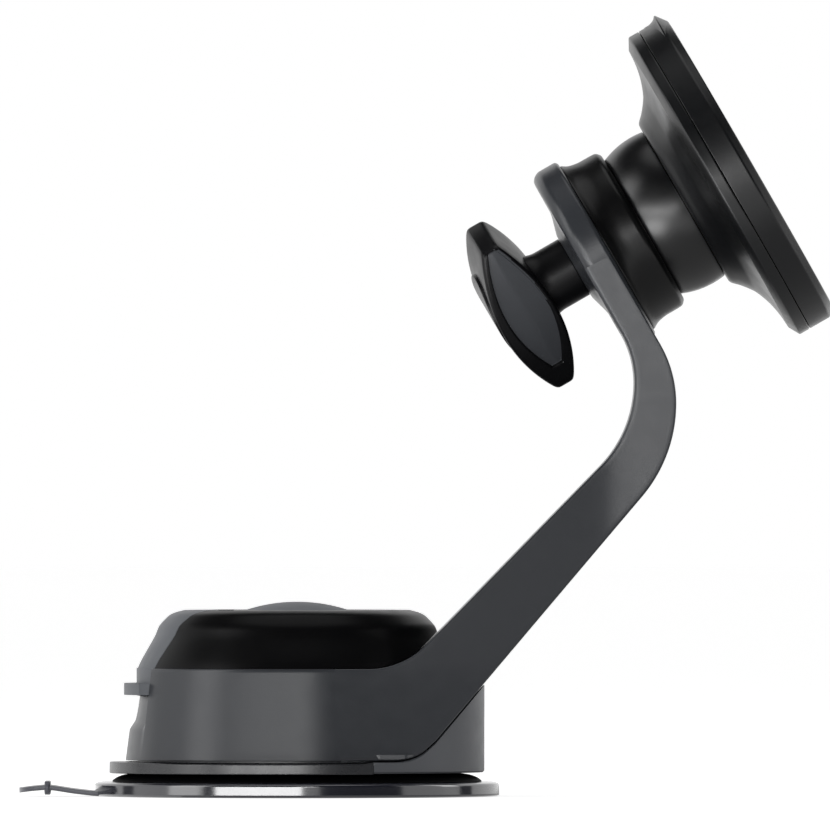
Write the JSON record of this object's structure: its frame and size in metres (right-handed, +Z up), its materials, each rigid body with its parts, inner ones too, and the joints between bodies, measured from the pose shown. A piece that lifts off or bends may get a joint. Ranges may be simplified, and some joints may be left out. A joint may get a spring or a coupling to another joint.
{
  "type": "suction cup phone holder",
  "caption": "Phone holder with a sticky suction base, flip lever, curved arm and a round magnetic head on a clamped half-ball joint.",
  "frame": {"origin": "middle of the sticky pad's underside, on the standing surface", "axes": "+Z up, +X the side that the arm leans to, +Y away from the picture's camera"},
  "size_m": [0.1417, 0.0704, 0.1358],
  "materials": {
    "gel": "clear sticky gel, glossy",
    "cup_black": "soft black rubber",
    "insert_white": "hard plastic",
    "steel": "bright steel",
    "zinc": "pressed zinc-plated steel",
    "ring_grey": "semi-gloss grey plastic",
    "block_grey": "satin grey plastic",
    "arm_grey": "satin dark grey plastic",
    "cover_grey": "satin dark plastic",
    "cap_black": "glossy black plastic",
    "badge_grey": "glossy grey plastic, bare",
    "lever_grey": "satin light grey plastic",
    "socket_black": "satin black plastic",
    "ball_black": "smooth black plastic",
    "ring_tan": "friction plastic",
    "knob_black": "satin black plastic",
    "brass": "machined brass",
    "head_black": "satin black plastic",
    "magnet": "nickel-plated magnets",
    "pad_soft": "soft matt pad",
    "washer_black": "black washer"
  },
  "bodies": {
    "root": {"sticky_pad": "gel", "suction_cup": "cup_black", "return_spring": "steel", "base_ring": "ring_grey", "rear_block": "block_grey", "chassis": "zinc", "base_screws": "steel", "arm_housing": "arm_grey", "arm_back_cover": "cover_grey", "top_cap": "cap_black", "cap_badge": "badge_grey", "lever_pins": "steel", "ball_socket": "socket_black", "clamp_bolt": "steel", "clamp_dome": "zinc", "thrust_washer": "washer_black"},
    "stem": {"pull_stem": "steel", "cup_insert": "insert_white"},
    "lever": {"lock_lever": "lever_grey", "cam_pin": "steel"},
    "knob": {"wing_knob": "knob_black", "knob_insert": "brass", "knob_cap": "knob_black"},
    "tilt_ring": {"friction_ring": "ring_tan"},
    "ball": {"ball_shell": "ball_black", "ball_washer": "zinc", "ball_screw": "steel"},
    "head": {"head_back": "head_black", "head_front": "head_black", "shield_plate": "zinc", "magnet_ring": "magnet", "head_screws": "steel", "front_pad": "pad_soft"}
  },
  "joints": [
    {"name": "lever_lift", "type": "hinge", "parent": "root", "child": "lever", "pos_m": [-0.0148, 0, 0.0268], "axis": [0, 1, 0], "range_deg": [0, 65]},
    {"name": "stem_slide", "type": "slide", "parent": "root", "child": "stem", "axis": [0, 0, 1], "range_m": [-0.00252, 0], "deforming": ["suction_cup", "return_spring"]},
    {"name": "knob_turn", "type": "hinge", "parent": "root", "child": "knob", "pos_m": [0.0652, 0, 0.1019], "axis": [0.866, 0, 0.5], "range_deg": [0, 270]},
    {"name": "head_tilt", "type": "hinge", "parent": "root", "child": "tilt_ring", "pos_m": [0.0652, 0, 0.1019], "axis": [0, 1, 0], "range_deg": [-18, 18]},
    {"name": "head_pan", "type": "hinge", "parent": "tilt_ring", "child": "ball", "pos_m": [0.0652, 0, 0.1019], "axis": [0.5, 0, -0.866], "range_deg": [-18, 18]},
    {"name": "head_spin", "type": "hinge", "parent": "ball", "child": "head", "pos_m": [0.0652, 0, 0.1019], "axis": [0.866, 0, 0.5], "continuous": true}
  ],
  "couplings": [
    {"joint": "stem_slide", "follows": "lever_lift", "m_per_rad": -0.002207}
  ]
}
